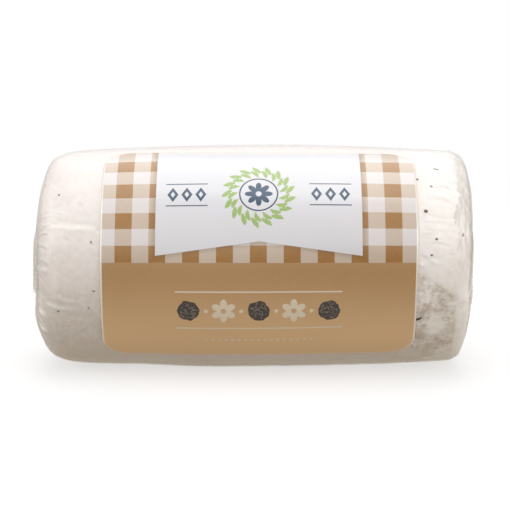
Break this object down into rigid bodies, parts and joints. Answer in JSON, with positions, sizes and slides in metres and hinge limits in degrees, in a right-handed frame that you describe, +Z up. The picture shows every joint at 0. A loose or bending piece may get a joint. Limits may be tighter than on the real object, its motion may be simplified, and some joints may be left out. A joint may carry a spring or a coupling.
{
  "type": "goat cheese log",
  "caption": "Soft goat cheese log in tight clear film with folded-down welded ends, and a round-cornered checked label wrapped round its front.",
  "frame": {"origin": "on the surface that the log lies on, under the middle of its box", "axes": "+X along the log, to the right as the label is read; +Z up; the label faces -Y"},
  "size_m": [0.0837, 0.0436, 0.0422],
  "materials": {
    "film": "gloss",
    "label": "satin",
    "cheese": "matt",
    "truffle": "matt"
  },
  "bodies": {
    "root": {"wrapped_log": "film", "front_label": "label"}
  },
  "joints": []
}
